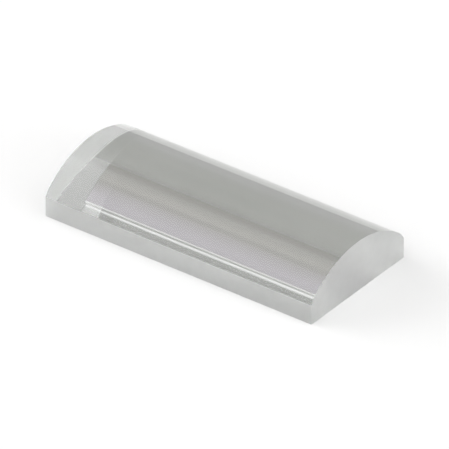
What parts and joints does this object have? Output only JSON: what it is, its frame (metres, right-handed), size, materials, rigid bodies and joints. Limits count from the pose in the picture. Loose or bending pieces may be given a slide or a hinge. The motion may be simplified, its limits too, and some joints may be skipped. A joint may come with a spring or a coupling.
{
  "type": "cylindrical lens",
  "caption": "Rectangular plano-convex cylindrical lens of clear optical glass, with a polished flat face, a polished cylindrical top and fine-ground sides and ends.",
  "frame": {"origin": "centre of the flat polished face, which lies on Z = 0", "axes": "+X along the straight axis of the cylindrical surface (the length), +Y across the curve (the width), +Z from the flat face up to the top of the curve"},
  "size_m": [0.0538, 0.025, 0.0094],
  "materials": {
    "optical_glass": "polished curved top and flat face, fine-ground sides and ends"
  },
  "bodies": {
    "root": {"lens": "optical_glass"}
  },
  "joints": []
}
